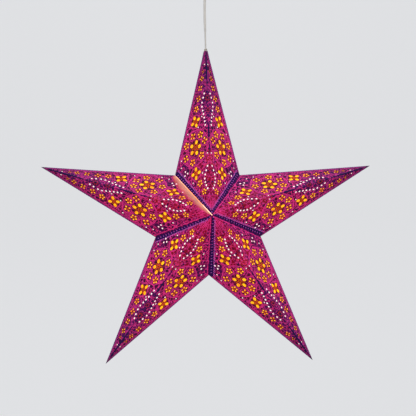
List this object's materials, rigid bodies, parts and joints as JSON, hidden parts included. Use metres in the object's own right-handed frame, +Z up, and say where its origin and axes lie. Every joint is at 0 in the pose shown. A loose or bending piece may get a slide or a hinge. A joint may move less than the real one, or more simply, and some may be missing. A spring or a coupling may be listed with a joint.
{
  "type": "paper star lantern",
  "caption": "Pendant star of folded, punched and printed card sheets lined with soft coloured paper, lit by a bulb inside, on a flat flex from a ceiling cup.",
  "frame": {"origin": "on the ceiling, in the middle of the bracket's flat top face, straight above the star's centre", "axes": "+Z up, -Y towards the viewer who faces the star's front, +X to that viewer's right"},
  "size_m": [0.5992, 0.1894, 0.7248],
  "materials": {
    "printed_card": "matt printed card, lit from behind",
    "tissue": "soft yellow paper, lit from behind",
    "thread": "cotton thread",
    "flex_sheath": "smooth white sheath",
    "opal_glass": "opal, glowing",
    "holder_plastic": "satin white",
    "insert_plastic": "matt ivory",
    "cup_plastic": "smooth white",
    "brass": "plain",
    "steel": "zinc plated"
  },
  "bodies": {
    "root": {"arm_top": "printed_card", "tissue_top": "tissue", "arm_left": "printed_card", "tissue_left": "tissue", "arm_lower_left": "printed_card", "tissue_lower_left": "tissue", "arm_lower_right": "printed_card", "tissue_lower_right": "tissue", "arm_right": "printed_card", "tissue_right": "tissue", "closing_ties": "thread", "tip_tie": "thread", "flex": "flex_sheath", "bulb": "opal_glass", "holder_body": "holder_plastic", "holder_cap": "holder_plastic", "holder_insert": "insert_plastic", "screw_shell": "brass", "centre_contact": "brass", "contact_screws": "brass", "flex_clamp_screw": "holder_plastic", "ceiling_cup": "cup_plastic", "ceiling_bracket": "steel", "cup_screws": "steel", "flex_grip": "cup_plastic", "grip_nut": "cup_plastic", "grip_screw": "cup_plastic", "terminal_block": "insert_plastic", "block_screws": "steel"}
  },
  "joints": []
}
